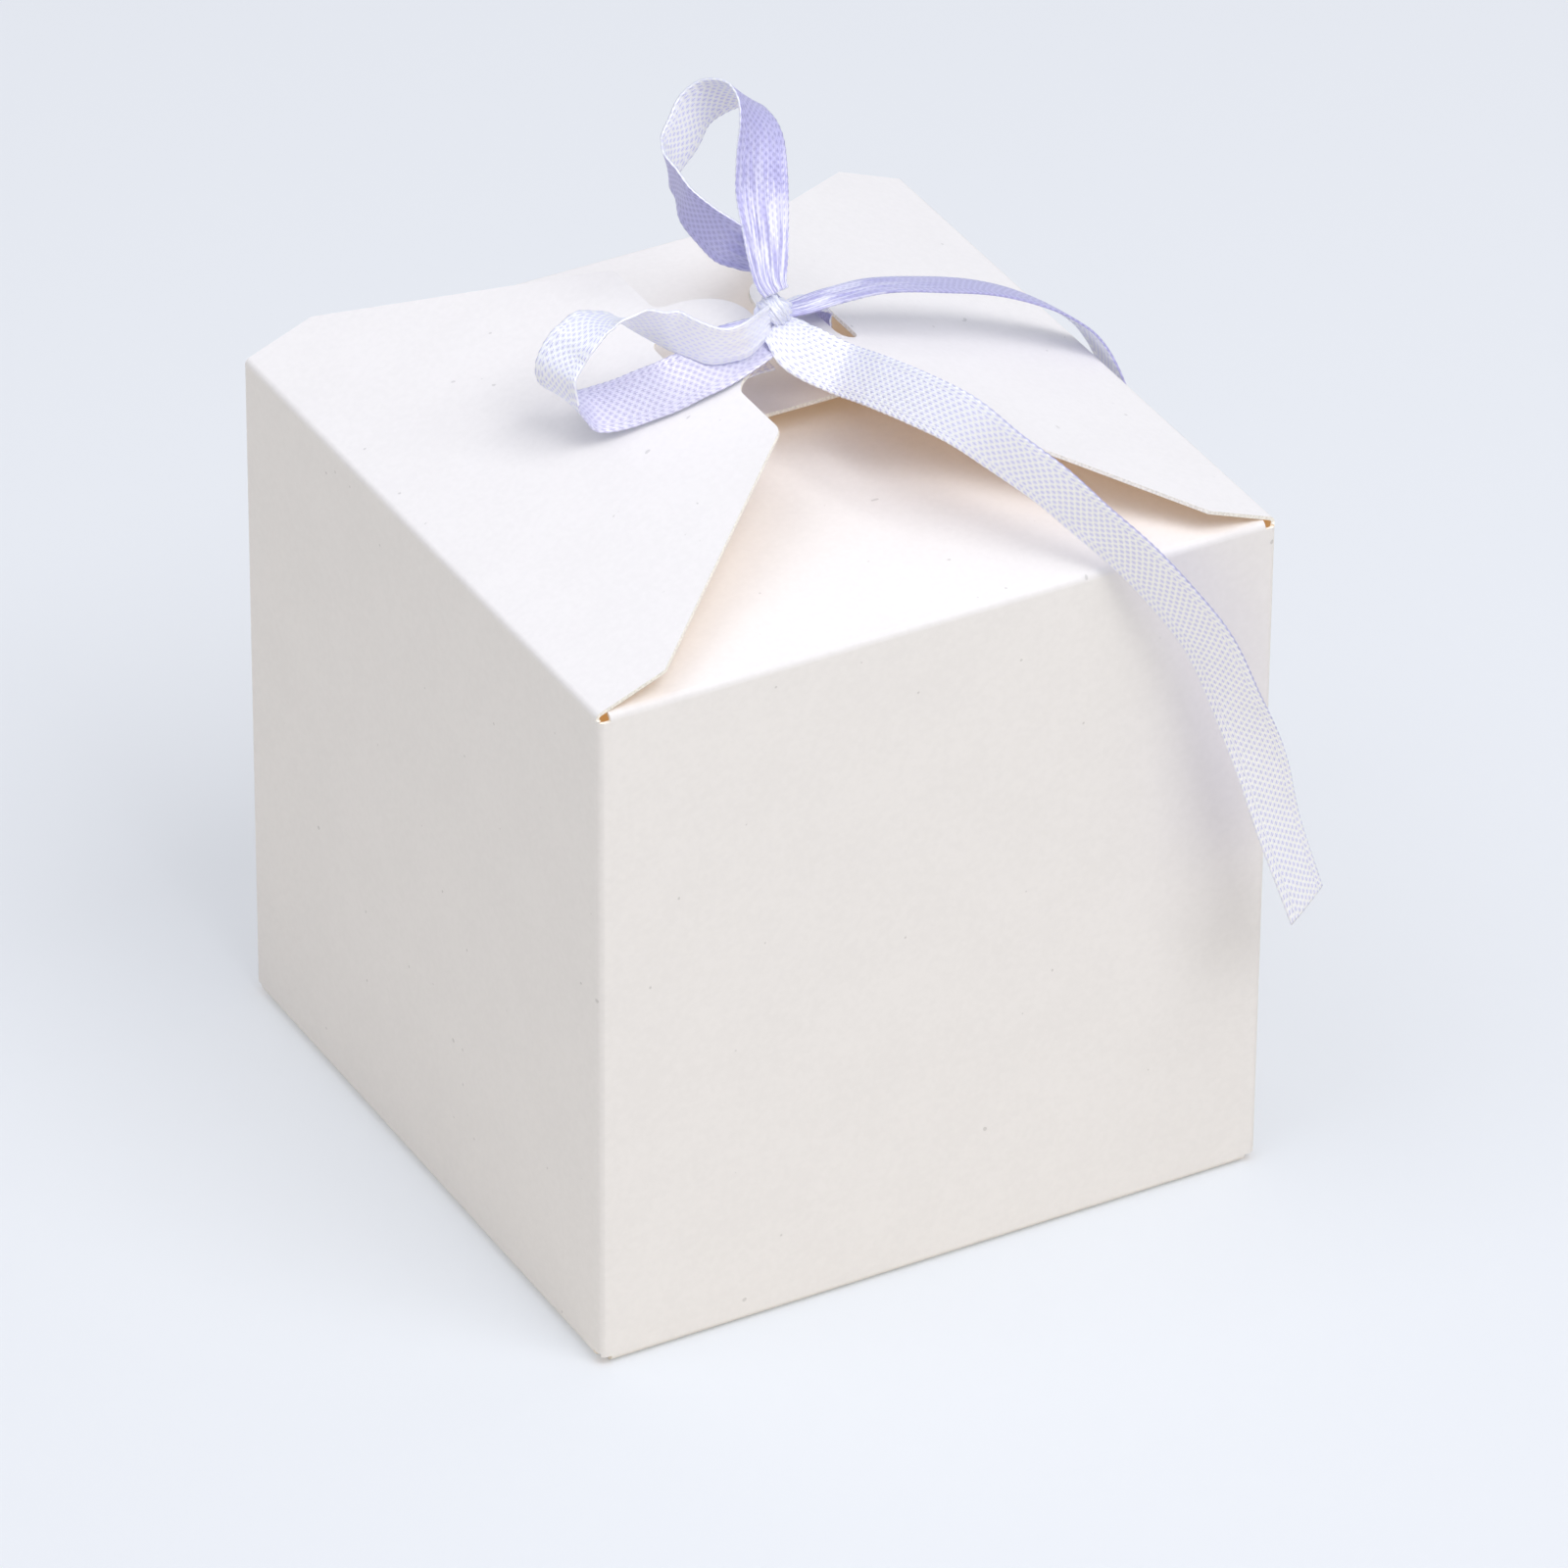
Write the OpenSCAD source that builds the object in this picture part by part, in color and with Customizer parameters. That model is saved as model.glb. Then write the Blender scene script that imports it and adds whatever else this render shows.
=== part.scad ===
// Favor box: a small square carton closed by two lobed flaps that a flat ribbon ties together.
// Millimetres, +Z up. The origin is the centre of the footprint on the table.
// The front wall faces -Y. The closing flaps hinge on the left (-X) and right (+X) walls,
// the dust flaps on the front and back walls, and each flap turns about its crease's outside.

/* [Box] */
// Outside width and depth of the square box
body_w = 90; // [60:1:140]
// Height from the table to the top folds
body_h = 91; // [60:1:160]
// Thickness of the pearl board
board_t = 0.45; // [0.3:0.05:0.8]
// Outside radius of every folded crease
crease_r = 1; // [0.9:0.05:1.6]

/* [Closing flaps] */
// Rise of the two closing flaps above level, in degrees
close_tilt = 21.5; // [16:0.5:28]
// Length of the straight side beside the fold, before the sides close in
shoulder_len = 9.6; // [6:0.2:14]
// Radius of the round lobe at each flap's middle
lobe_r = 10; // [8:0.5:13]
// How far the lobe stands out past the flap's straight end
lobe_out = 7.8; // [6:0.2:9]
// Gap between the two lobes over the middle of the box
lobe_gap = 1.4; // [0.8:0.1:3]
// Width of the ribbon slot
slot_w = 3; // [2:0.2:4]
// From the lobe's tip back to the middle of its slot
slot_back = 9.9; // [8:0.1:12]

/* [Dust flaps] */
// Rise of the front dust flap above level, in degrees
front_tilt = 5.2; // [4.5:0.1:6]
// Rise of the back dust flap, which lies over the front one
back_tilt = 8; // [7.5:0.1:9.5]
// How far each dust flap reaches past the middle of the box
dust_lap = 6.2; // [3:0.2:9]

/* [Ribbon] */
// Width of the flat ribbon
ribbon_w = 6.3; // [5:0.1:7.5]
// Thickness of the ribbon
ribbon_t = 0.3; // [0.2:0.05:0.4]

/* [Hidden] */
// Clearances
sheet_gap = 0.05;
slot_play = 4.2;
knot_gap = 0.1;
cut_overrun = 0.01;
// Closing flaps: side_slope is the width lost on each side per unit of length
side_slope = 0.79;
close_inset = 0.7;
corner_r = 2;
fillet_r = 2.5;
fillet_steps = 8;
lobe_tip = (body_w / 2 - lobe_gap / 2) / cos(close_tilt);
lobe_reach = lobe_tip - lobe_r;
close_len = lobe_tip - lobe_out;
slot_len = ribbon_w + slot_play;
slot_reach = lobe_tip - slot_back;
// Dust flaps
dust_inset = 1.6;
dust_slope = 0.6;
dust_corner_r = 1.5;
// Glued side tab
tab_w = 12;
tab_trim = 4;
// Folded bottom: three layers, each one sheet and its gap above the last
level_step = board_t + sheet_gap;
bottom_inset = 1.6;
bottom_corner_r = 5;
front_bottom_gap = 25;
side_bottom_gap = 3.5;
back_bottom_gap = 36;
front_bottom_slope = 0.06;
side_bottom_slope = 0.5;
back_bottom_slope = 0.22;
// Knot: its half sizes as shares of the ribbon's width, the pleats of the turn that wraps it,
// their depth as a share of its radius, the turn's lean, and its place over the lobes
knot_shares = [0.41, 0.32, 0.33];
knot_half = knot_shares * ribbon_w;
pleats = 5;
pleat_share = 0.1;
pleat_steps = 5;
turn_lean = 52;
knot_y = -4.5;
knot_z = body_h + lobe_tip * sin(close_tilt) + knot_half[2] + knot_gap;
// Ribbon: steps between two points of a route, the share of the full width that is left at
// the knot, the points over which it widens again, and the slants of the tails' cut ends
steps = 3;
pinch_share = 0.62;
pinch_rows = 2;
front_slant = -0.2;
back_slant = 0.6;
round_fn = 48;
knot_fn = 28;

// The ribbon's routes from the knot, each row a point from the knot's middle and, in the
// list below it, the direction of the ribbon's width there
front_tail_route = [
    [-0.5, -2.5, -1], [1, -4.5, -2.5], [3.5, -9.5, -3.5], [5, -15.5, -2.5],
    [7, -22, -2], [9.5, -28, -2.5], [12.5, -33, -5], [16, -37.5, -8],
    [19.5, -40.5, -12], [23.5, -44, -16.5], [27.5, -46.5, -22], [31.5, -48, -28.5],
    [35, -48.5, -37], [38.5, -49, -46.5], [41, -49.5, -56], [44, -51.5, -67]
];
front_tail_across = [
    [0.6, 0, 0.8], [0.7, 0.1, 0.7], [0.7, 0.3, 0.7], [0.6, 0.3, 0.7],
    [0.6, 0.2, 0.8], [0.5, 0, 0.8], [0.4, -0.3, 0.9], [0.4, -0.4, 0.8],
    [0.4, -0.5, 0.8], [0.4, -0.5, 0.7], [0.5, -0.6, 0.7], [0.6, -0.6, 0.5],
    [0.7, -0.6, 0.4], [0.9, -0.2, 0.3], [1, 0.2, 0.2], [0.9, 0.3, 0.1]
];
back_tail_route = [
    [3.5, -0.5, 0], [8, 0, 0], [14.5, 1, -1], [22, 2, -3.5],
    [29.5, 3, -6.5], [35.5, 3, -9.5], [40.5, 3, -13], [44.5, 2.5, -17],
    [46.5, 0.5, -22], [47.5, -2, -29], [48, -5.5, -37], [48, -8.5, -45.5],
    [47.5, -10.5, -54], [47.5, -12.5, -62]
];
back_tail_across = [
    [0, 0.9, 0.4], [0, 0.9, 0.4], [0, 1, 0.1], [0, 1, -0.2],
    [0, 1, -0.2], [0, 1, -0.2], [0.1, 1, -0.3], [0.1, 0.9, -0.3],
    [0.1, 0.9, -0.4], [0, 0.9, -0.4], [0, 0.9, -0.4], [-0.1, 0.9, -0.3],
    [-0.1, 0.9, -0.3], [-0.1, 1, -0.2]
];
left_loop_route = [
    [-1.5, -2.5, 1], [-5.5, -4, 0.5], [-8, -4, 0], [-10, -3, 0], [-11.5, -1.5, 0.5],
    [-13, 0.5, 1], [-14.5, 1.5, 1.5], [-16.5, 2.5, 2.5], [-18.5, 3, 3], [-20.5, 3.5, 3],
    [-22.5, 3.5, 3], [-24.5, 3, 2], [-26, 3, 0.5], [-27.5, 2.5, -1.5], [-27.5, 2, -3.5],
    [-26.5, 2, -5.5], [-24.5, 2, -7], [-22.5, 1.5, -7.5], [-20, 0.5, -7], [-17.5, -0.5, -6],
    [-15, -1.5, -5], [-12, -2, -4], [-9.5, -2.5, -3.5], [-6.5, -2.5, -3], [-3, -2, -2.5]
];
left_loop_across = [
    [0.1, -0.1, -1], [0.1, 0.1, -1], [0.1, 0.3, -1], [0, 0.3, -1], [0, 0.3, -1],
    [-0.1, 0.3, -0.9], [0, 0.5, -0.9], [0, 0.7, -0.8], [0.1, 0.9, -0.5], [0, 1, -0.2],
    [-0.1, 1, 0], [-0.2, 1, 0.1], [-0.3, 0.9, 0.1], [-0.3, 0.9, 0], [-0.3, 1, -0.1],
    [-0.1, 1, 0], [0.1, 1, 0.2], [0.2, 0.9, 0.5], [0.1, 0.8, 0.6], [0, 0.8, 0.7],
    [0, 0.7, 0.7], [0, 0.8, 0.6], [0, 0.9, 0.5], [0, 0.9, 0.3], [0, 1, 0.2]
];
top_loop_route = [
    [0, -0.5, 3], [0, 1, 4], [1, 3.5, 6], [2, 6, 8.5], [3, 8.5, 11], [4, 10.5, 14],
    [5, 12.5, 16.5], [5.5, 15, 18.5], [5.5, 17.5, 19], [4.5, 19.5, 18.5], [3, 21, 17.5],
    [1, 21.5, 16], [-1, 20.5, 14], [-3, 19.5, 12.5], [-4.5, 18, 11.5], [-4.5, 15.5, 10.5],
    [-4.5, 13, 9], [-3.5, 10.5, 7.5], [-2, 8, 6], [0, 6.5, 4.5], [1, 5, 4], [0.5, 3, 2]
];
top_loop_across = [
    [1, -0.3, 0.1], [1, -0.3, 0], [0.9, -0.3, 0], [0.9, -0.4, -0.1], [0.9, -0.3, -0.1],
    [1, -0.2, -0.2], [0.9, 0, -0.4], [0.8, 0.2, -0.6], [0.7, 0.2, -0.7], [0.6, 0.1, -0.8],
    [0.5, 0, -0.8], [0.6, 0, -0.8], [0.6, 0, -0.8], [0.5, 0.1, -0.8], [0.3, 0.3, -0.9],
    [0.2, 0.4, -0.9], [0, 0.4, -0.9], [-0.1, 0.3, -1], [-0.2, 0.2, -1], [-0.2, 0.3, -0.9],
    [0.1, 0.5, -0.9], [0.2, 0.5, -0.8]
];
// A strap's route from the middle of its slot: along the flap, sideways, and up from its top.
// It runs under the lobe from the middle of the box, up through the slot and to the knot.
strap_route = [
    [8.5, 0, -5], [6, 0, -4], [3.5, 0, -3.5], [1.5, 0, -2.5], [0.5, 0, -1],
    [0.5, 0, 0], [1, 0, 1], [2.5, -0.5, 1.5], [5, -1.5, 2], [8, -3, 2]
];
strap_across = [0, 1, 0];

board = [0.985, 0.98, 0.975];
board_inside = [0.97, 0.955, 0.93];
lilac = [0.8, 0.78, 0.94];

// Boards

module rounded_square(side, r) {
    square([side - 2 * r, side], center = true);
    square([side, side - 2 * r], center = true);
    for (sx = [-1, 1], sy = [-1, 1])
        translate([sx * (side / 2 - r), sy * (side / 2 - r)]) circle(r, $fn = round_fn);
}

module wall_ring() {
    difference() {
        rounded_square(body_w, crease_r);
        rounded_square(body_w - 2 * board_t, crease_r - board_t);
    }
}

// A crease seen end on: the part of its ring between two angles, around its centre
module bend(from, to) {
    reach = 3 * crease_r;
    intersection() {
        difference() {
            circle(crease_r, $fn = round_fn);
            circle(crease_r - board_t, $fn = round_fn);
        }
        polygon([[0, 0], reach * [cos(from), sin(from)],
            reach * [cos((from + to) / 2), sin((from + to) / 2)], reach * [cos(to), sin(to)]]);
    }
}

// Stands a profile of (inward distance, height) up along the front wall
module along_front(len, at = 0) {
    translate([at, -body_w / 2, 0]) rotate([90, 0, 90])
        translate([0, 0, -len / 2]) linear_extrude(len) children();
}

// Height of a top crease's centre, for a flap that rises by this tilt
function crease_z(tilt) = body_h - crease_r * tan((90 - tilt) / 2);

module top_bend(tilt, inset, from, to) {
    along_front(body_w - 2 * inset) translate([crease_r, crease_z(tilt)]) bend(from, to);
}

module bottom_bend(level, from, to) {
    along_front(body_w - 2 * bottom_inset) translate([crease_r, level + crease_r]) bend(from, to);
}

// One wall: its outline from above stood up, with its half of the top and bottom creases
module wall(turn, level, tilt, inset) {
    low = level + crease_r;
    translate([0, 0, low]) linear_extrude(crease_z(tilt) - low) children();
    rotate([0, 0, turn]) {
        top_bend(tilt, inset, 90 + (90 + tilt) / 2, 180);
        bottom_bend(level, 180, 225);
    }
}

mitre = [[0, 0], [-body_w, -body_w], [body_w, -body_w]];
tab_y = body_w / 2 - level_step;

module mitred_outline(turn) {
    intersection() {
        wall_ring();
        rotate(turn) polygon(mitre);
    }
}

module front_panel() {
    color(board) wall(0, 0, front_tilt, dust_inset) mitred_outline(0);
}

module left_panel() {
    color(board) wall(-90, level_step, close_tilt, close_inset) mitred_outline(-90);
}

module right_panel() {
    color(board) wall(90, level_step, close_tilt, close_inset) {
        intersection() {
            wall_ring();
            polygon([[0, 0], [body_w, -body_w], [body_w, tab_y - crease_r], [0, tab_y - crease_r]]);
        }
        translate([body_w / 2 - crease_r, tab_y - crease_r]) bend(0, 45);
    }
}

module back_panel() {
    color(board) wall(180, 2 * level_step, back_tilt, dust_inset) {
        intersection() {
            wall_ring();
            polygon([[0, 0], [-body_w, body_w], [body_w / 2 - crease_r, body_w],
                [body_w / 2 - crease_r, 0]]);
        }
        translate([body_w / 2 - crease_r - cut_overrun, body_w / 2 - board_t])
            square([crease_r + cut_overrun - sheet_gap, board_t]);
    }
}

module glue_tab() {
    color(board_inside) translate([0, 0, tab_trim]) linear_extrude(body_h - 2 * tab_trim) {
        translate([body_w / 2 - crease_r, tab_y - crease_r]) bend(45, 90);
        translate([body_w / 2 - crease_r - tab_w, tab_y - board_t]) square([tab_w, board_t]);
    }
}

// A flap's outline with its fold on the x axis: straight sides up to the shoulder, then
// sides that close in by slope, and a straight end with rounded corners
module tapered(half, first, shoulder, slope, len, r) {
    hyp = sqrt(1 + slope * slope);
    offset_k = (half + slope * shoulder) / hyp;
    cx = (offset_k - r - slope / hyp * (len - r)) * hyp;
    tx = cx + r / hyp;
    ty = len - r + r * slope / hyp;
    polygon([[-half, first], [half, first], [half, shoulder], [tx, ty], [cx, len - r], [cx, len],
        [-cx, len], [-cx, len - r], [-tx, ty], [-half, shoulder]]);
    for (s = [-1, 1]) translate([s * cx, len - r]) circle(r, $fn = round_fn);
}

// The round lobe on its neck, whose two sides are fillets that rise from the straight end
module lobe() {
    rise = close_len + fillet_r - lobe_reach;
    run = sqrt(pow(lobe_r + fillet_r, 2) - rise * rise);
    sweep = 90 - asin(rise / (lobe_r + fillet_r));
    fillet = [for (i = [0:fillet_steps]) let (a = 270 - sweep * i / fillet_steps)
        [run, close_len + fillet_r] + (fillet_r + cut_overrun) * [cos(a), sin(a)]];
    neck = concat([[run, lobe_reach]], fillet);
    polygon(concat(neck, [for (i = [len(neck) - 1:-1:0]) [-neck[i][0], neck[i][1]]]));
    translate([0, lobe_reach]) circle(lobe_r, $fn = 2 * round_fn);
}

module ribbon_slot() {
    straight = slot_len - slot_w;
    square([straight, slot_w], center = true);
    for (s = [-1, 1]) translate([s * straight / 2, 0]) circle(slot_w / 2, $fn = round_fn);
}

// A sheet folded along its crease, seen end on: half of the bend and the flat stretch
module folded_sheet(tilt, len) {
    first = crease_r * tan((90 - tilt) / 2) - cut_overrun;
    translate([crease_r, crease_z(tilt)]) bend(90 + tilt, 90 + (90 + tilt) / 2);
    translate([0, body_h]) rotate(tilt) translate([first, -board_t])
        square([len - first, board_t]);
}

// A flap lying in its folded place: the folded sheet, cut to the outline given in its plane
module flap(turn, tilt, len) {
    rotate([0, 0, turn]) intersection() {
        along_front(body_w) folded_sheet(tilt, len);
        translate([0, -body_w / 2, body_h]) rotate([tilt, 0, 0])
            translate([0, 0, -2 * crease_r]) linear_extrude(3 * crease_r) children();
    }
}

module closing_flap(turn) {
    color(board) flap(turn, close_tilt, lobe_tip + crease_r) difference() {
        union() {
            tapered(body_w / 2 - close_inset, -2 * crease_r, shoulder_len, side_slope,
                close_len, corner_r);
            lobe();
        }
        translate([0, slot_reach]) ribbon_slot();
    }
}

module dust_flap(turn, tilt) {
    len = (body_w / 2 + dust_lap) / cos(tilt);
    color(board_inside) flap(turn, tilt, len + crease_r)
        tapered(body_w / 2 - dust_inset, -2 * crease_r, crease_r, dust_slope, len,
            dust_corner_r);
}

module bottom_flap(turn, layer, slope, gap) {
    level = layer * level_step;
    color(board_inside) rotate([0, 0, turn]) {
        bottom_bend(level, 225, 270);
        translate([0, -body_w / 2, level]) linear_extrude(board_t)
            tapered(body_w / 2 - bottom_inset, crease_r - cut_overrun, 2 * crease_r, slope,
                body_w - gap, bottom_corner_r);
    }
}

module left_flap() { closing_flap(-90); }
module right_flap() { closing_flap(90); }
module front_flap() { dust_flap(0, front_tilt); }
module back_flap() { dust_flap(180, back_tilt); }
module front_bottom() { bottom_flap(0, 0, front_bottom_slope, front_bottom_gap); }
module left_bottom() { bottom_flap(-90, 1, side_bottom_slope, body_w / 2 + side_bottom_gap); }
module right_bottom() { bottom_flap(90, 1, side_bottom_slope, body_w / 2 + side_bottom_gap); }
module back_bottom() { bottom_flap(180, 2, back_bottom_slope, back_bottom_gap); }

// Ribbon

function unit(v) = v / norm(v);
function pick(rows, i) = rows[max(0, min(len(rows) - 1, i))];

// A smooth curve through the rows: every column is blended the same way
function blend(a, b, c, d, t) = 0.5 * (2 * b + (c - a) * t + (2 * a - 5 * b + 4 * c - d) * t * t
    + (3 * b - a - 3 * c + d) * t * t * t);
function smooth(rows) = let (last = (len(rows) - 1) * steps)
    [for (i = [0:last]) let (k = min(floor(i / steps), len(rows) - 2), t = i / steps - k)
        blend(pick(rows, k - 1), pick(rows, k), pick(rows, k + 1), pick(rows, k + 2), t)];

// The share of the full width at each row: narrow where the ribbon leaves the knot
function pinch(i, ends, count) = let (rows = min(i, ends > 1 ? count - 1 - i : i))
    min(1, pinch_share + (1 - pinch_share) * rows / pinch_rows);

// A flat strip along points, across the given directions, with its last steps cut aslant
module strip(points, across, shares, slant = 0) {
    c = smooth(points);
    lean = smooth(across);
    share = smooth(shares);
    n = len(c);
    along = [for (i = [0:n - 1]) unit(pick(c, i + 1) - pick(c, i - 1))];
    side = [for (i = [0:n - 1]) unit(lean[i] - (lean[i] * along[i]) * along[i])];
    up = [for (i = [0:n - 1]) cross(along[i], side[i]) * ribbon_t / 2];
    skew = [for (i = [0:n - 1]) along[i] * slant * max(0, i - n + 1 + steps) / steps];
    left = [for (i = [0:n - 1]) c[i] - (side[i] + skew[i]) * share[i] * ribbon_w / 2];
    right = [for (i = [0:n - 1]) c[i] + (side[i] + skew[i]) * share[i] * ribbon_w / 2];
    corners = [for (i = [0:n - 1], q = [left[i] - up[i], right[i] - up[i], right[i] + up[i],
        left[i] + up[i]]) q];
    sides = [for (i = [0:n - 2], k = [0:3], f = [0, 1]) let (a = 4 * i + k,
        b = 4 * i + (k + 1) % 4) f == 0 ? [a, b, b + 4] : [a, b + 4, a + 4]];
    e = 4 * (n - 1);
    color(lilac) polyhedron(corners, concat(sides,
        [[0, 2, 1], [0, 3, 2], [e, e + 1, e + 2], [e, e + 2, e + 3]]));
}

// A ribbon piece that leaves the knot, with one or both ends at it
module from_knot(route, across, ends, slant = 0) {
    strip([for (p = route) p + [0, knot_y, knot_z]], across,
        [for (i = [0:len(route) - 1]) pinch(i, ends, len(route))], slant);
}

// A strap on the left (side -1) or right (side 1) closing flap
module strap(side) {
    last = len(strap_route) - 1;
    strip([for (p = strap_route) let (s = slot_reach + p[0], n = p[2])
        [side * (body_w / 2 - s * cos(close_tilt) + n * sin(close_tilt)), p[1],
            body_h + s * sin(close_tilt) + n * cos(close_tilt)]],
        [for (p = strap_route) strap_across],
        [for (i = [0:last]) pinch(last - i, 1, last + 1)]);
}

// The knot: a lump whose pleats run round it the way the ribbon's last turn does
module knot() {
    rows = pleats * pleat_steps;
    profile = [for (i = [0:rows]) let (a = 180 * i / rows - 90,
        r = 1 - pleat_share * (1 - cos(360 * i / pleat_steps)) / 2) r * [max(0, cos(a)), sin(a)]];
    color(lilac) translate([0, knot_y, knot_z]) scale(knot_half) rotate([0, turn_lean, 0])
        rotate_extrude($fn = knot_fn) polygon(profile);
}

module left_loop() { from_knot(left_loop_route, left_loop_across, 2); }
module top_loop() { from_knot(top_loop_route, top_loop_across, 2); }
module front_tail() { from_knot(front_tail_route, front_tail_across, 1, front_slant); }
module back_tail() { from_knot(back_tail_route, back_tail_across, 1, back_slant); }
module left_strap() { strap(-1); }
module right_strap() { strap(1); }

front_panel();
right_panel();
back_panel();
left_panel();
glue_tab();
front_bottom();
right_bottom();
back_bottom();
left_bottom();
left_flap();
right_flap();
front_flap();
back_flap();
knot();
left_loop();
top_loop();
front_tail();
back_tail();
left_strap();
right_strap();
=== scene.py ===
# %% [markdown]
# # A favor box and its ribbon bow
# The box is one printed and creased sheet of pearl board. Two lobed flaps meet over the top,
# and a flat satin ribbon runs up through a slot in each, where it is tied in a bow. The boards
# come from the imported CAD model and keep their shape. This script gives them their finish, and
# it makes the ribbon, which the CAD model can only show as plain strips.

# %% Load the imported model
import math

import bpy
import numpy as np
from mathutils import Matrix, Vector


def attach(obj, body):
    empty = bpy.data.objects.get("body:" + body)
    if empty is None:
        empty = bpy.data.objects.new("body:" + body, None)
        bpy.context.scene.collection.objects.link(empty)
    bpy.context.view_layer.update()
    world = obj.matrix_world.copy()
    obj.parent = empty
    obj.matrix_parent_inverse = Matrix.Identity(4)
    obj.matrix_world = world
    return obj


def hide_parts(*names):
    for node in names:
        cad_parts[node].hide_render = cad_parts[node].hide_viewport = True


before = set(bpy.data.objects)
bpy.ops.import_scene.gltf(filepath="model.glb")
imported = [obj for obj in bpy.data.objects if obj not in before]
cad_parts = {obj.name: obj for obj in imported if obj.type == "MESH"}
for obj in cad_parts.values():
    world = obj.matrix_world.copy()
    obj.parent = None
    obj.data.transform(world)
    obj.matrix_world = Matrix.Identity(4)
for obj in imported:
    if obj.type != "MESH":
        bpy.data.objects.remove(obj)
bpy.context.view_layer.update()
MM = 0.001

# %% [markdown]
# ## The camera
# The photograph looks down on the box from its left front corner with a long lens. Its place
# was worked out from the box's seven visible corners, whose real places are known, and that
# gives a position and three directions: to the right of the picture, up it, and back out of it.

# %% Make the camera
eye = Vector((-573.90, -1036.87, 820.81)) * MM
picture_right = Vector((0.87542, -0.48332, 0.00647))
picture_up = Vector((0.26068, 0.48334, 0.83572))
picture_back = picture_right.cross(picture_up)
lens = bpy.data.cameras.new("camera")
lens.sensor_width = 36
lens.lens = 270.64
lens.clip_start, lens.clip_end = 0.05, 40
camera = bpy.data.objects.new("camera", lens)
bpy.context.scene.collection.objects.link(camera)
axes = Matrix((picture_right, picture_up, picture_back)).transposed()
camera.matrix_world = Matrix.Translation(eye) @ axes.to_4x4()
bpy.context.scene.camera = camera
print("camera", round(eye.length, 3), "m from the origin")

# %% [markdown]
# ## The ribbon's routes
# A ribbon is a flat band, so two things say how it lies: the line that its middle follows, and
# at each point the direction of its width. Both are lists of a few rows, in millimetres from the
# knot's middle, and were found from the ribbon's two edges in the photograph. A smooth curve is
# drawn through them. The CAD source has the same rows, apart from the first ones at the knot,
# where these are nearer the photograph.

# %% Write down the routes
KNOT = np.array([0, -4.5, 110.63])
RIBBON_WIDTH = 6.3
routes = {
    "front_tail": [
        [-0.6, -1.7, -0.6], [-0.2, -3.6, -1.2], [0.6, -5.9, -2.1], [3.5, -9.5, -3.5],
        [5, -15.5, -2.5], [7, -22, -2], [9.5, -28, -2.5], [12.5, -33, -5], [16, -37.5, -8],
        [19.5, -40.5, -12], [23.5, -44, -16.5], [27.5, -46.5, -22], [31.5, -48, -28.5],
        [35, -48.5, -37], [38.5, -49, -46.5], [41, -49.5, -56], [44, -51.5, -67],
    ],
    "back_tail": [
        [1.2, -0.4, 0.1], [3.5, -0.5, 0.1], [8, 0, 0], [14.5, 1, -1], [22, 2, -3.5],
        [29.5, 3, -6.5], [35.5, 3, -9.5], [40.5, 3, -13], [44.5, 2.5, -17], [46.5, 0.5, -22],
        [47.5, -2, -29], [48, -5.5, -37], [48, -8.5, -45.5], [47.5, -10.5, -54],
        [47.5, -12.5, -62],
    ],
    "left_loop": [
        [-1.5, -1.6, 0.3], [-5.5, -4, 0.3], [-8, -4, 0], [-10, -3, 0], [-11.5, -1.5, 0.5],
        [-13, 0.5, 1], [-14.5, 1.5, 1.5], [-16.5, 2.5, 2.5], [-18.5, 3, 3], [-20.5, 3.5, 3],
        [-22.5, 3.5, 3], [-24.5, 3, 2], [-26, 3, 0.5], [-27.5, 2.5, -1.5], [-27.5, 2, -3.5],
        [-26.5, 2, -5.5], [-24.5, 2, -7], [-22.5, 1.5, -7.5], [-20, 0.5, -7], [-17.5, -0.5, -6],
        [-15, -1.5, -5], [-12, -2, -4], [-9.5, -2.5, -3.5], [-6.5, -2.5, -3], [-3, -2, -2.5],
        [-0.8, -1.5, -2.2],
    ],
    "top_loop": [
        [0, -0.5, 3], [0, 1, 4], [1, 3.5, 6], [2, 6, 8.5], [3, 8.5, 11], [4, 10.5, 14],
        [5, 12.5, 16.5], [5.5, 15, 18.5], [5.5, 17.5, 19], [4.5, 19.5, 18.5], [3, 21, 17.5],
        [1, 21.5, 16], [-1, 20.5, 14], [-3, 19.5, 12.5], [-4.5, 18, 11.5], [-4.5, 15.5, 10.5],
        [-4.5, 13, 9], [-3.5, 10.5, 7.5], [-2, 8, 6], [0, 6.5, 4.5], [1, 5, 4], [0.5, 3, 2],
    ],
}
print("rows:", {name: len(rows) for name, rows in routes.items()})

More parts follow.
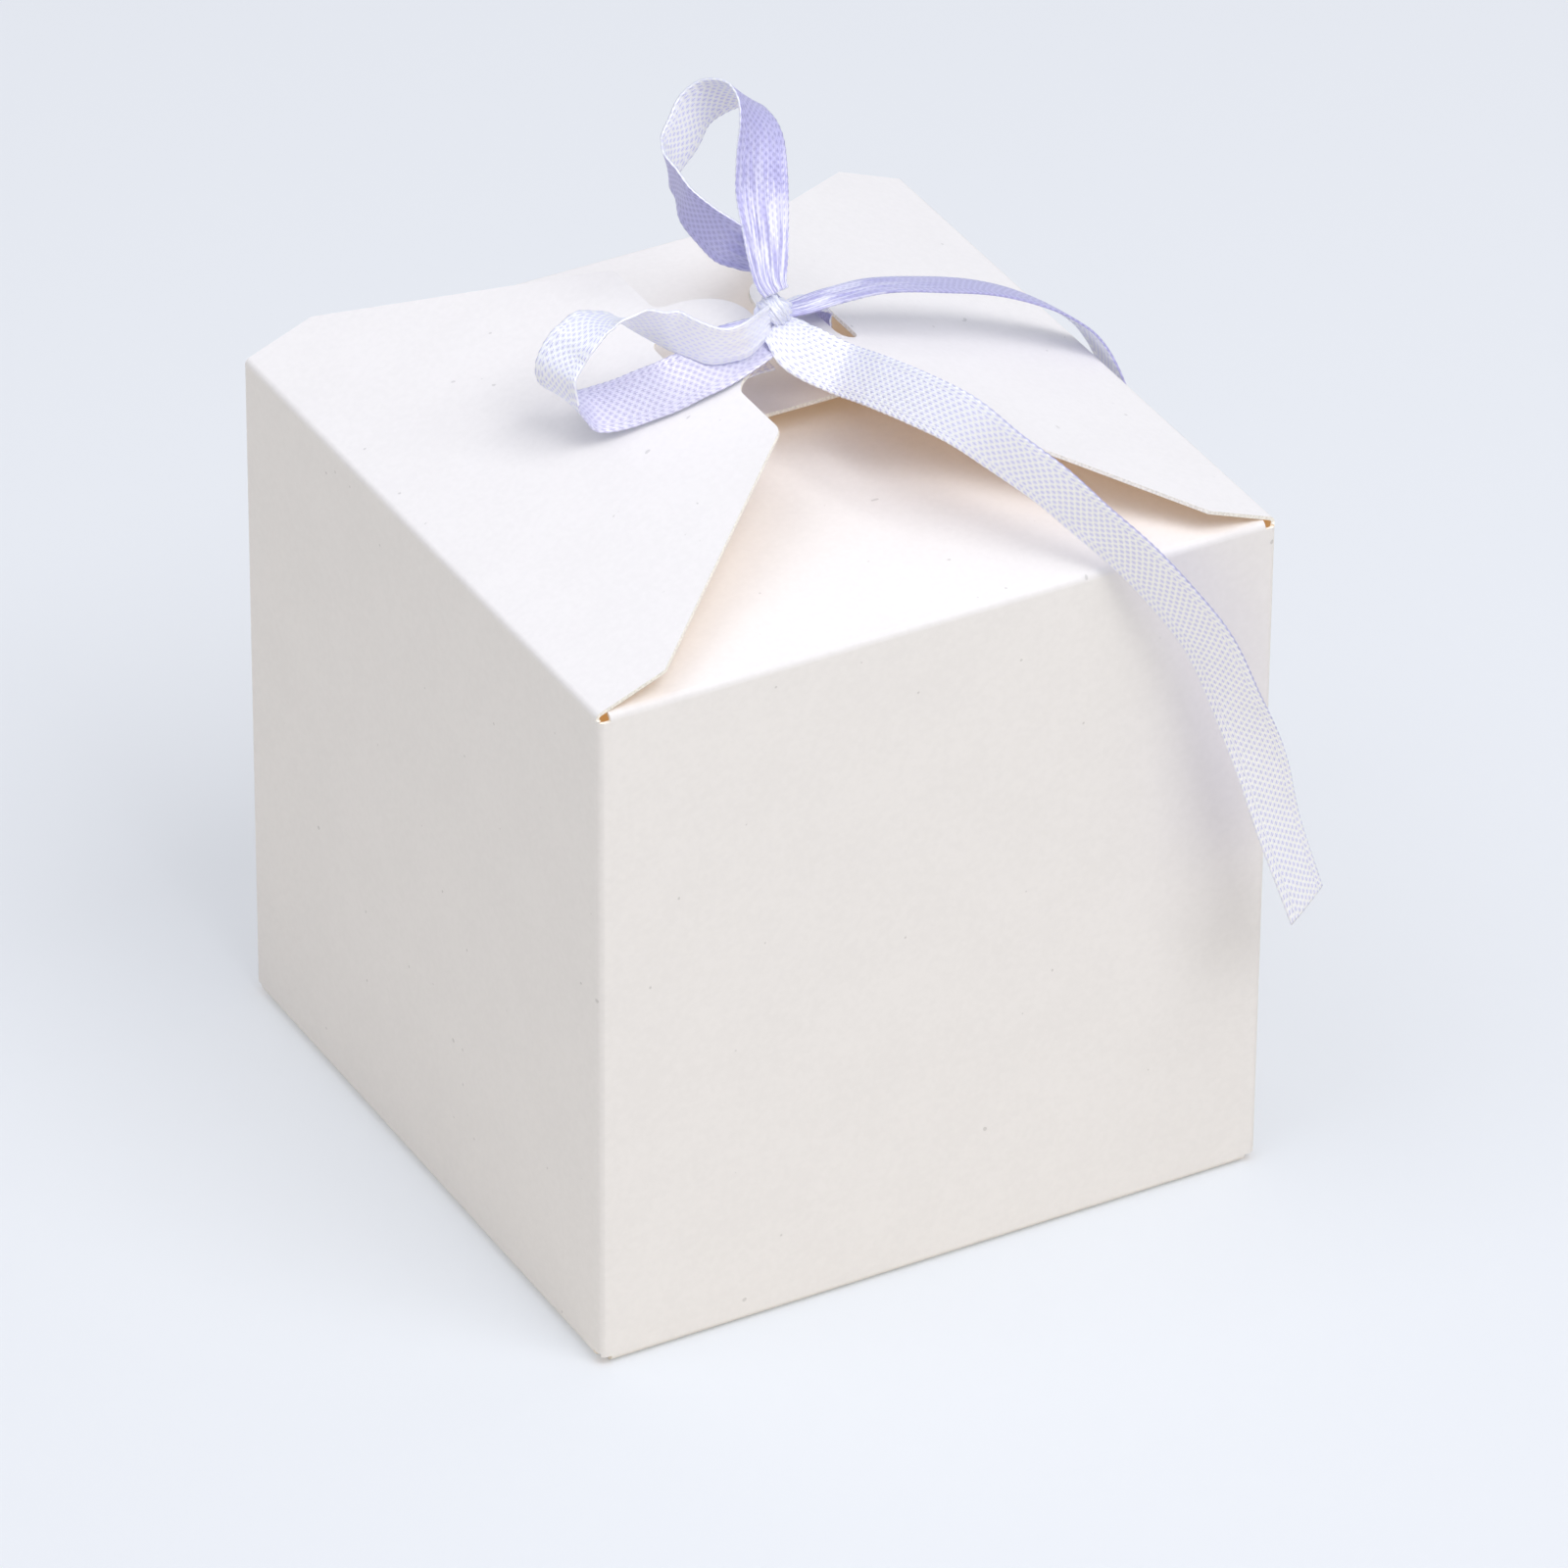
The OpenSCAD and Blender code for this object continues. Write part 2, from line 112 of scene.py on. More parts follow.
# %% Write down the directions of the width
widths = {
    "front_tail": [
        [0.9, -0.5, 0], [0.9, -0.4, 0.2], [0.9, -0.1, 0.5], [0.7, 0.3, 0.7], [0.6, 0.3, 0.7],
        [0.6, 0.2, 0.8], [0.5, 0, 0.8], [0.4, -0.3, 0.9], [0.4, -0.4, 0.8], [0.4, -0.5, 0.8],
        [0.4, -0.5, 0.7], [0.5, -0.6, 0.7], [0.6, -0.6, 0.5], [0.7, -0.6, 0.4], [0.9, -0.2, 0.3],
        [1, 0.2, 0.2], [0.9, 0.3, 0.1],
    ],
    "back_tail": [
        [0, 0.9, 0.3], [0, 0.9, 0.2], [0, 1, -0.1], [0, 1, -0.2], [0, 1, -0.2], [0, 1, -0.2],
        [0, 1, -0.2], [0.1, 1, -0.3], [0.1, 0.9, -0.3], [0.1, 0.9, -0.4], [0, 0.9, -0.4],
        [0, 0.9, -0.4], [-0.1, 0.9, -0.3], [-0.1, 0.9, -0.3], [-0.1, 1, -0.2],
    ],
    "left_loop": [
        [0.1, -0.1, -1], [0.1, 0.1, -1], [0.1, 0.3, -1], [0, 0.3, -1], [0, 0.3, -1],
        [-0.1, 0.3, -0.9], [0, 0.5, -0.9], [0, 0.7, -0.8], [0.1, 0.9, -0.5], [0, 1, -0.2],
        [-0.1, 1, 0], [-0.2, 1, 0.1], [-0.3, 0.9, 0.1], [-0.3, 0.9, 0], [-0.3, 1, -0.1],
        [-0.1, 1, 0], [0.1, 1, 0.2], [0.2, 0.9, 0.5], [0.1, 0.8, 0.6], [0, 0.8, 0.7],
        [0, 0.7, 0.7], [0, 0.8, 0.6], [0, 0.9, 0.5], [0, 0.9, 0.3], [0, 1, 0.2], [0, 1, 0.2],
    ],
    "top_loop": [
        [1, -0.3, 0.1], [1, -0.3, 0], [0.9, -0.3, 0], [0.9, -0.4, -0.1], [0.9, -0.3, -0.1],
        [1, -0.2, -0.2], [0.9, 0, -0.4], [0.8, 0.2, -0.6], [0.7, 0.2, -0.7], [0.6, 0.1, -0.8],
        [0.5, 0, -0.8], [0.6, 0, -0.8], [0.6, 0, -0.8], [0.5, 0.1, -0.8], [0.3, 0.3, -0.9],
        [0.2, 0.4, -0.9], [0, 0.4, -0.9], [-0.1, 0.3, -1], [-0.2, 0.2, -1], [-0.2, 0.3, -0.9],
        [0.1, 0.5, -0.9], [0.2, 0.5, -0.8],
    ],
}
print("directions:", {name: len(rows) for name, rows in widths.items()})

# %% [markdown]
# ## The straps' routes
# The two straps come up through the slots in the lobes and are hidden for most of their way, so
# their rows are worked out along the closing flap. It leans by TILT from its fold, and the
# middle of its slot is SLOT along it. A strap starts at one end of its slot and has moved
# sideways when it meets the knot: SLOT_Y and KNOT_Y say where, for the left and right one.

# %% Work out the straps' routes
TILT = math.radians(21.5)
SLOT = 37.71
FOLD_X, FOLD_Z = 45, 91
SLOT_Y, KNOT_Y = {-1: -2, 1: 1}, {-1: -4.2, 1: -2.6}


def strap_route(side):
    """The strap's points. Each step is how far along the flap from its slot, how far up from
    its top, and which share of the way from the slot's end to the knot's side."""
    steps = [
        (8.5, -5, 0), (6, -4, 0), (3.5, -3.5, 0), (1.5, -2.5, 0), (0.5, -1, 0),
        (0.5, 0, 0), (1, 1, 0.06), (2.5, 1.5, 0.28), (5, 2, 0.61), (8.5, 1.5, 1),
    ]
    points = []
    for along, up, turned in steps:
        reach = SLOT + along
        x = side * (FOLD_X - reach * math.cos(TILT) + up * math.sin(TILT))
        y = SLOT_Y[side] + (KNOT_Y[side] - SLOT_Y[side]) * turned
        points.append([x, y, FOLD_Z + reach * math.sin(TILT) + up * math.cos(TILT)])
    return np.array(points) - KNOT


for name, side in (("left_strap", -1), ("right_strap", 1)):
    routes[name] = strap_route(side)[::-1]
    widths[name] = [[0, 1, 0]] * len(routes[name])
print("routes:", sorted(routes))

# %% [markdown]
# ## Weaving a band
# A band could be a curve with a flat bevel, but a curve can't narrow where it is gathered into
# the knot, or have the small scallops of a woven edge. So each band is a mesh: cross-sections
# of 33 columns set along the smooth line every quarter of a millimetre. A slight crown, pleats
# near the knot and a ripple along the selvedge come from the column heights. Its UV map is in
# millimetres, across and along, so that the weave has its real size everywhere, and a value
# called "gather" says at each point how tightly the ribbon is drawn together there.

# %% Draw a smooth line through rows of numbers
ROW_STEPS = 12


def smooth(rows):
    """A smooth line through the rows, with ROW_STEPS points from each to the next."""
    rows = np.asarray(rows, float)
    padded = np.vstack([rows[:1], rows, rows[-1:]])
    out = []
    for k in range(len(rows) - 1):
        a, b, c, d = padded[k : k + 4]
        for t in np.arange(ROW_STEPS) / ROW_STEPS:
            out.append(
                0.5 * (2 * b + (c - a) * t + (2 * a - 5 * b + 4 * c - d) * t**2
                       + (3 * b - a - 3 * c + d) * t**3)
            )
    return np.array(out + [rows[-1]])


def evenly(points, others, spacing):
    """The same line with its points at even distances, and the others carried along."""
    run = np.r_[0, np.cumsum(np.linalg.norm(np.diff(points, axis=0), axis=1))]
    at = np.linspace(0, run[-1], max(2, int(run[-1] / spacing) + 1))
    pick = lambda rows: np.array([np.interp(at, run, col) for col in rows.T]).T
    return at, pick(points), [pick(rows) for rows in others]


def unit(rows):
    return rows / np.linalg.norm(rows, axis=1, keepdims=True)


line = smooth(routes["front_tail"])
tail_length = float(np.linalg.norm(np.diff(line, axis=0), axis=1).sum())
print("front tail:", round(tail_length, 1), "mm long")

# %% Skin a row of cross-sections
COLUMNS = 33
RING = 2 * COLUMNS


def skin(name, rings, run, pulled):
    """A closed band through rings of points: its top from edge to edge, then its underside."""
    faces, marks = [], []
    for i in range(len(run) - 1):
        for j in range(RING):
            k = (j + 1) % RING
            faces.append((i * RING + j, i * RING + k, (i + 1) * RING + k, (i + 1) * RING + j))
            marks.append(0 if j < COLUMNS - 1 or j == RING - 1 else 1)
    last = (len(run) - 1) * RING
    faces += [tuple(range(RING - 1, -1, -1)), tuple(last + j for j in range(RING))]
    marks += [0, 0]
    mesh = bpy.data.meshes.new(name)
    mesh.from_pydata(((rings.reshape(-1, 3) + KNOT) * MM).tolist(), [], faces)
    across = np.linspace(0, RIBBON_WIDTH, COLUMNS)
    place = np.stack([np.tile(np.r_[across, across[::-1]], len(run)), np.repeat(run, RING)], 1)
    index = np.zeros(len(mesh.loops), int)
    mesh.loops.foreach_get("vertex_index", index)
    mesh.uv_layers.new(name="weave").data.foreach_set("uv", place[index].ravel())
    mesh.attributes.new("gather", "FLOAT", "POINT").data.foreach_set(
        "value", np.repeat(pulled, RING))
    mesh.polygons.foreach_set("material_index", marks)
    mesh.polygons.foreach_set("use_smooth", [True] * len(faces))
    piece = bpy.data.objects.new(name, mesh)
    bpy.context.scene.collection.objects.link(piece)
    return piece


print("points round one cross-section:", RING)

# %% Make one band of ribbon
THICK = 0.28
SPACING = 0.25
STITCH = 0.9
SLANT_FROM = 4


def band(name, rows, across, share, gather, slant=0.0, crown=0.12, scallop=0.04):
    """A band of ribbon through rows, in millimetres. At each row, share is how much of its
    width it has, and gather is how tightly it is drawn together."""
    extra = [smooth(across), smooth(np.c_[share, gather])]
    run, mid, (lean, forms) = evenly(smooth(rows), extra, SPACING)
    along = unit(np.gradient(mid, axis=0))
    side = unit(lean - (lean * along).sum(1, keepdims=True) * along)
    up = np.cross(along, side)
    t = np.linspace(-1, 1, COLUMNS)
    half = forms[:, :1] * RIBBON_WIDTH / 2
    half = half * np.ones_like(t) + np.sign(t) * (np.abs(t) > 0.99) * scallop * np.sin(
        run[:, None] * 2 * math.pi / STITCH + 2 * np.sign(t))
    skew = slant * np.clip(1 - (run[-1] - run) / SLANT_FROM, 0, 1)[:, None]
    pulled = np.clip(forms[:, 1:], 0, 1)
    wander = 0.25 * np.sin(run * 0.9)[:, None]
    pleats = 0.12 * np.cos(2.5 * math.pi * t + 0.7) + 0.08 * np.sin(7 * math.pi * t + wander)
    lift = crown * (1 - t**2) + pulled * pleats
    flat = mid[:, None] + side[:, None] * (half * t)[..., None]
    flat = flat + along[:, None] * (skew * half * t)[..., None]
    body = THICK / 2 * (1 - 0.25 * (1 - np.abs(t)[None]) * np.ones_like(half))
    top = flat + up[:, None] * (lift + body)[..., None]
    low = flat + up[:, None] * (lift - body)[..., None]
    piece = skin(name, np.concatenate([top, low[:, ::-1]], 1), run, pulled[:, 0])
    return piece, mid + KNOT, run[-1]


def from_knot(values, count, rest):
    """A value for each row: these at the knot, and rest everywhere else."""
    return np.array((list(values) + [rest] * count)[:count], float)


print("shares of a band's width, from the knot on:", from_knot((0.66, 0.85), 4, 1))

# %% [markdown]
# ## The two tails
# The bow's tails are free: they hang from the knot under their own weight and nothing holds
# their cut ends. The script measures their length. Their ends are cut aslant, as a ribbon is to
# stop fraying.

# %% Make the tails
bands = {}
slants = {"front_tail": -0.2, "back_tail": 0.6}
gathers = {"front_tail": (0.4, 0.2, 0.1), "back_tail": (1, 1, 0.8, 0.5, 0.2)}
narrows = {"front_tail": (0.66, 0.85), "back_tail": (0.35, 0.45, 0.7, 0.9)}
for name in slants:
    count = len(routes[name])
    piece, path, length = band(
        name + "_ribbon", routes[name], widths[name], from_knot(narrows[name], count, 1),
        from_knot(gathers[name], count, 0), slants[name])
    bands[name] = piece
    print(name, round(length, 1), "mm,", len(piece.data.polygons), "faces")

# %% [markdown]
# ## The loops and the straps
# Each loop is the same band, gathered at both ends. The straps are the stretch of ribbon that
# comes up through a slot and runs over the lobe's end into the knot, and only their upper part
# is seen.

# %% Make the loops and the straps
starts = {
    "left_loop": ((0.6, 0.85, 0.95), (0.8, 0.5, 0.3, 0.15)),
    "top_loop": ((0.5, 0.62, 0.78, 0.9), (1, 1, 0.9, 0.7, 0.5, 0.3, 0.15)),
    "left_strap": ((0.5, 0.6, 0.75, 0.85), (0.8, 0.5, 0.2)),
    "right_strap": ((0.45, 0.5, 0.55, 0.6, 0.7, 0.85), (0.8, 0.5, 0.2)),
}
returns = {
    "left_loop": ((0.6, 0.8, 0.9, 0.95), (0.4, 0.3, 0.15)),
    "top_loop": ((0.5, 0.6, 0.8), (1, 0.7, 0.4, 0.2)),
}
for name, (narrow, drawn) in starts.items():
    count = len(routes[name])
    share, gather = from_knot(narrow, count, 1), from_knot(drawn, count, 0)
    if name in returns:
        share = np.minimum(share, from_knot(returns[name][0], count, 1)[::-1])
        gather = np.maximum(gather, from_knot(returns[name][1], count, 0)[::-1])
    piece, path, length = band(name + "_ribbon", routes[name], widths[name], share, gather)
    bands[name] = piece
    print(name, round(length, 1), "mm,", len(piece.data.polygons), "faces")

# %% [markdown]
# ## The knot
# A pulled-tight knot shows one turn of ribbon, squeezed to a few pleats, wrapped round a lump
# of folded ribbon. The lump is a ball of the CAD knot's size with folds pressed into it, and
# the turn is a short gathered band that goes round it.

# %% Make the knot
def folded_lump(name, half, rings=40, turns=72):
    """A closed ball, with folds that run aslant round it."""
    verts, faces = [], []
    for i in range(rings + 1):
        polar = math.pi * i / rings
        for j in range(turns):
            angle = 2 * math.pi * j / turns
            n = np.array([math.sin(polar) * math.cos(angle), math.sin(polar) * math.sin(angle),
                          math.cos(polar)])
            fold = math.sin(7 * angle + 5 * math.cos(polar)) * math.sin(polar)
            crease = math.sin(3 * angle - 2.0 * n[2] + 1.0) * math.sin(polar)
            verts.append((half * n * (0.95 + 0.07 * fold + 0.04 * crease) + KNOT) * MM)
    for i in range(rings):
        for j in range(turns):
            k = (j + 1) % turns
            faces.append((i * turns + j, (i + 1) * turns + j, (i + 1) * turns + k, i * turns + k))
    mesh = bpy.data.meshes.new(name)
    mesh.from_pydata(verts, [], faces)
    uv = mesh.uv_layers.new(name="weave")
    for loop in mesh.loops:
        i, j = divmod(loop.vertex_index, turns)
        uv.data[loop.index].uv = (j * 0.2, i * 0.16)
    mesh.attributes.new("gather", "FLOAT", "POINT").data.foreach_set("value", [1.0] * len(verts))
    mesh.polygons.foreach_set("use_smooth", [True] * len(mesh.polygons))
    piece = bpy.data.objects.new(name, mesh)
    bpy.context.scene.collection.objects.link(piece)
    return piece


bands["knot"] = folded_lump("knot_lump", np.array([2.5, 1.9, 1.75]))
turn_down = np.array(picture_right) * 0.6 - np.array(picture_up) * 0.8
turn_out = np.array(picture_back)
turn_across = np.cross(turn_out, turn_down)
TURN_ROWS = 15
angles = np.radians(np.linspace(-165, 165, TURN_ROWS))
turn_rows = [2.15 * math.cos(a) * turn_out + 1.8 * math.sin(a) * turn_down
             + 0.2 * turn_across for a in angles]
bands["knot_turn"], path, length = band(
    "knot_turn", turn_rows, [turn_across] * TURN_ROWS, np.linspace(0.5, 0.24, TURN_ROWS),
    np.full(TURN_ROWS, 0.9), crown=0.3, scallop=0.01)
print("knot turn", round(length, 1), "mm,", len(path), "cross-sections")

# %% [markdown]
# ## Helpers for materials
# A material is a small network of nodes. These helpers make one node, with its inputs filled or
# joined, in one line.

# %% Make one node
def add(tree, kind, settings=None, **inputs):
    """A node of this kind. Inputs are values or other nodes' outputs, by the socket's name."""
    node = tree.nodes.new(kind)
    for key, value in (settings or {}).items():
        setattr(node, key, value)
    for key, value in inputs.items():
        names = key.replace("_", " ")
        socket = node.inputs[int(key[1:])] if key[1:].isdigit() else node.inputs[names]
        if isinstance(value, bpy.types.NodeSocket):
            tree.links.new(value, socket)
        else:
            socket.default_value = value
    return node


def calc(tree, what, *values, clamp=False):
    node = add(tree, "ShaderNodeMath", {"operation": what, "use_clamp": clamp},
               **{f"i{i}": v for i, v in enumerate(values)})
    return node.outputs[0]


def mixed(tree, share, first, second):
    node = add(tree, "ShaderNodeMix", {"data_type": "RGBA"}, i0=share, i6=first, i7=second)
    return node.outputs[2]


def ramp(tree, value, low, high, to_low=0.0, to_high=1.0):
    node = add(tree, "ShaderNodeMapRange", {"interpolation_type": "SMOOTHSTEP"},
               i0=value, i1=low, i2=high, i3=to_low, i4=to_high)
    return node.outputs[0]


def group(name, ins, outs):
    tree = bpy.data.node_groups.new(name, "ShaderNodeTree")
    for side, rows in (("INPUT", ins), ("OUTPUT", outs)):
        for label, kind in rows:
            tree.interface.new_socket(name=label, in_out=side, socket_type="NodeSocket" + kind)
    return tree, tree.nodes.new("NodeGroupInput").outputs, tree.nodes.new("NodeGroupOutput")


def surface(name):
    """A new material with a Principled shader, its node tree and the shader."""
    material = bpy.data.materials.new(name)
    material.use_nodes = True
    return material, material.node_tree, material.node_tree.nodes["Principled BSDF"]


print("materials before the finishes:", len(bpy.data.materials))

# %% [markdown]
# ## Pearl board
# The box is cut from white board with a pearl coating: smooth, faintly mottled, warm white
# outside. Its other side and its cut edges are bare cream fibre. One board is one solid here,
# so the finish is chosen by direction: where the surface faces the way that board's printed
# side faces it is pearl, where it faces the other way it is bare, and in between it is a cut
# edge. The directions are the object's own, so they turn with a flap.
#
# Thin board lets a little light through, which glows warm in the gaps between the flaps. A very
# weak warm light from the bare sides stands in for it.

# %% Build the board's node group
tree, given, result = group(
    "Board faces",
    [("Outward", "Vector"), ("Pearl", "Color"), ("Bare", "Color"), ("Cut", "Color"),
     ("Glow", "Color")],
    [("Color", "Color"), ("Roughness", "Float"), ("Height", "Float"), ("Glow", "Color")],
)
spot = add(tree, "ShaderNodeTexCoord")
facing = add(tree, "ShaderNodeVectorMath", {"operation": "DOT_PRODUCT"},
             i0=spot.outputs["Normal"], i1=given["Outward"]).outputs["Value"]
is_pearl = ramp(tree, facing, 0.45, 0.62)
is_bare = ramp(tree, facing, -0.45, -0.62)
cloud = add(tree, "ShaderNodeTexNoise", Vector=spot.outputs["Object"], Scale=90.0, Detail=3.0)
grain = add(tree, "ShaderNodeTexNoise", Vector=spot.outputs["Object"], Scale=1300.0, Detail=4.0,
            Roughness=0.6)
fibre = add(tree, "ShaderNodeTexNoise", Vector=spot.outputs["Object"], Scale=3200.0, Detail=3.0)
mottle = calc(tree, "ADD", calc(tree, "MULTIPLY", cloud.outputs[0], 0.35),
              calc(tree, "MULTIPLY", grain.outputs[0], 0.65))
shade = ramp(tree, mottle, 0.35, 0.65, 0.98, 1.01)
rough = ramp(tree, fibre.outputs[0], 0.3, 0.7, 0.86, 1.06)
cut = add(tree, "ShaderNodeVectorMath", {"operation": "SCALE"}, i0=given["Cut"], Scale=rough)
# Painted shade: the pearl is drawn 3.5% darker where it turns round a fold or corner. The tiny
# dark specks are flecks in the board itself.
bend_shade = calc(tree, "MULTIPLY", ramp(tree, facing, 0.985, 0.94), is_pearl)
speck = add(tree, "ShaderNodeTexNoise", Vector=spot.outputs["Object"], Scale=800.0, Detail=0.0)
bend_shade_and_specks = calc(tree, "ADD", calc(tree, "MULTIPLY", bend_shade, 0.035),
            ramp(tree, speck.outputs[0], 0.85, 0.88, 0.0, 0.2))
pearl = add(tree, "ShaderNodeVectorMath", {"operation": "SCALE"}, i0=given["Pearl"],
            Scale=calc(tree, "SUBTRACT", shade, bend_shade_and_specks))
bare = add(tree, "ShaderNodeVectorMath", {"operation": "SCALE"}, i0=given["Bare"], Scale=shade)
colour = mixed(tree, is_bare, mixed(tree, is_pearl, cut.outputs[0], pearl.outputs[0]),
               bare.outputs[0])
roughness = ramp(tree, is_pearl, 0.0, 1.0, 0.85, 0.5)
fine = calc(tree, "MULTIPLY", grain.outputs[0], ramp(tree, is_pearl, 0.0, 1.0, 0.3, 0.12))
coarse = calc(tree, "MULTIPLY", fibre.outputs[0], ramp(tree, is_pearl, 0.0, 1.0, 0.9, 0.0))
glow = mixed(tree, is_bare, (0, 0, 0, 1), given["Glow"])
for label, value in (("Color", colour), ("Roughness", roughness), ("Glow", glow),
                     ("Height", calc(tree, "ADD", fine, coarse))):
    tree.links.new(value, result.inputs[label])
board_faces = tree
print("board group:", len(tree.nodes), "nodes")

# %% Finish each board
PEARL = (0.935, 0.917, 0.915, 1)
BARE = (0.86, 0.76, 0.62, 1)
CUT = (0.99, 0.96, 0.89, 1)
GLOW = (1.0, 0.6, 0.26, 1)
GLOW_STRENGTH = 0.12
close, front, back = TILT, math.radians(5.2), math.radians(8)
outward = {
    "front_panel": (0, -1, 0), "back_panel": (0, 1, 0), "left_panel": (-1, 0, 0),
    "right_panel": (1, 0, 0), "glue_tab": (0, 1, 0), "front_bottom": (0, 0, -1),
    "right_bottom": (0, 0, -1), "back_bottom": (0, 0, -1), "left_bottom": (0, 0, -1),
    "left_flap": (-math.sin(close), 0, math.cos(close)),
    "right_flap": (math.sin(close), 0, math.cos(close)),
    "front_flap": (0, -math.sin(front), math.cos(front)),
    "back_flap": (0, math.sin(back), math.cos(back)),
}
for name, way in outward.items():
    material, tree, shader = surface("pearl_board_" + name)
    faces = add(tree, "ShaderNodeGroup", {"node_tree": board_faces},
                Outward=way, Pearl=PEARL, Bare=BARE, Cut=CUT, Glow=GLOW)
    tree.links.new(faces.outputs["Glow"], shader.inputs["Emission Color"])
    shader.inputs["Emission Strength"].default_value = GLOW_STRENGTH
    tree.links.new(faces.outputs["Color"], shader.inputs["Base Color"])
    tree.links.new(faces.outputs["Roughness"], shader.inputs["Roughness"])
    bump = add(tree, "ShaderNodeBump", Height=faces.outputs["Height"], Strength=0.25,
               Distance=0.00004)
    tree.links.new(bump.outputs[0], shader.inputs["Normal"])
    shader.inputs["Specular IOR Level"].default_value = 0.35
    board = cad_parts[name]
    board.data.materials.clear()
    board.data.materials.append(material)
print("finished", len(outward), "boards")

# %% [markdown]
# ## Satin ribbon
# The ribbon is woven so that each warp thread floats over several wefts: under a lens it is
# rows of floats set like bricks, drawn lighter than the ground partly as painted highlight, with
# a short thin lilac mark of painted shadow where one ends and the next begins, and a firm
# selvedge of leaning stitches along each edge. The rows are 0.5 mm apart. The pattern is drawn
# by sums on the UV map, which is in millimetres, so it follows every twist of the band. Faint
# painted shade lies in streaks along the threads everywhere. Where the ribbon is gathered, the
# weave closes up, and stronger painted shade and painted highlights in long streaks take its
# place.

# %% Build the weave's node group
tree, given, result = group(
    "Satin weave",
    [("Dash", "Float"), ("Row", "Float"), ("Width", "Float")],
    [("Marks", "Float"), ("Floats", "Float"), ("Streaks", "Float"), ("Height", "Float"),
     ("Gather", "Float")],
)
place = add(tree, "ShaderNodeUVMap", {"uv_map": "weave"}).outputs[0]
gather = add(tree, "ShaderNodeAttribute", {"attribute_name": "gather"}).outputs["Fac"]
axes = add(tree, "ShaderNodeSeparateXYZ", i0=place).outputs
edge = calc(tree, "MINIMUM", axes[0], calc(tree, "SUBTRACT", given["Width"], axes[0]))
selvedge = ramp(tree, edge, 0.95, 0.8)
row = calc(tree, "DIVIDE", axes[0], given["Row"])
shift = calc(tree, "MULTIPLY", calc(tree, "FLOORED_MODULO", calc(tree, "FLOOR", row), 2.0), 0.5)
lean = calc(tree, "MULTIPLY", calc(tree, "MULTIPLY", edge, 0.9), selvedge)
step = calc(tree, "ADD", calc(tree, "ADD", calc(tree, "DIVIDE", axes[1], given["Dash"]), shift),
            lean)
middle = calc(tree, "MULTIPLY", calc(tree, "ABSOLUTE", calc(
    tree, "SUBTRACT", calc(tree, "FRACT", step), 0.5)), 2.0)
beside = calc(tree, "MULTIPLY", calc(tree, "ABSOLUTE", calc(
    tree, "SUBTRACT", calc(tree, "FRACT", row), 0.5)), 2.0)
# The short marks at the floats' ends are painted shadow; the oval floats are drawn lighter,
# partly as painted highlight.
between = calc(tree, "MULTIPLY", ramp(tree, middle, 0.2, 0.6), ramp(tree, beside, 0.42, 0.05))
oval = calc(tree, "ADD", calc(tree, "MULTIPLY", calc(tree, "POWER", middle, 2.0), 1.3),
            calc(tree, "MULTIPLY", calc(tree, "POWER", beside, 2.0), 0.8))
floats = ramp(tree, oval, 1.5, 0.5)
wide = add(tree, "ShaderNodeMapping", i0=place, Scale=(2.2, 0.16, 1.0)).outputs[0]
streaks = add(tree, "ShaderNodeTexNoise", Vector=wide, Scale=1.0, Detail=3.0,
              Roughness=0.6).outputs[0]
woven = calc(tree, "SUBTRACT", 1.0, calc(tree, "MULTIPLY", gather, 0.7))
marks = calc(tree, "MULTIPLY", between, woven)
floats = calc(tree, "MULTIPLY", floats, woven)
height = calc(tree, "SUBTRACT", calc(tree, "ADD", floats, calc(tree, "MULTIPLY", streaks, calc(
    tree, "ADD", 0.3, gather))), marks)
for label, value in (("Marks", marks), ("Floats", floats), ("Streaks", streaks),
                     ("Height", height), ("Gather", gather)):
    tree.links.new(value, result.inputs[label])
satin_weave = tree
print("weave group:", len(tree.nodes), "nodes")

# %% Make a satin finish
WEAVE = {"Dash": 0.98, "Row": 0.5, "Width": RIBBON_WIDTH}
# Colour and share of the painted highlight in the gathered streaks.
PAINTED_HIGHLIGHT_COLOUR = (0.95, 0.95, 1.0, 1)
PAINTED_HIGHLIGHT_SHARE = 0.8


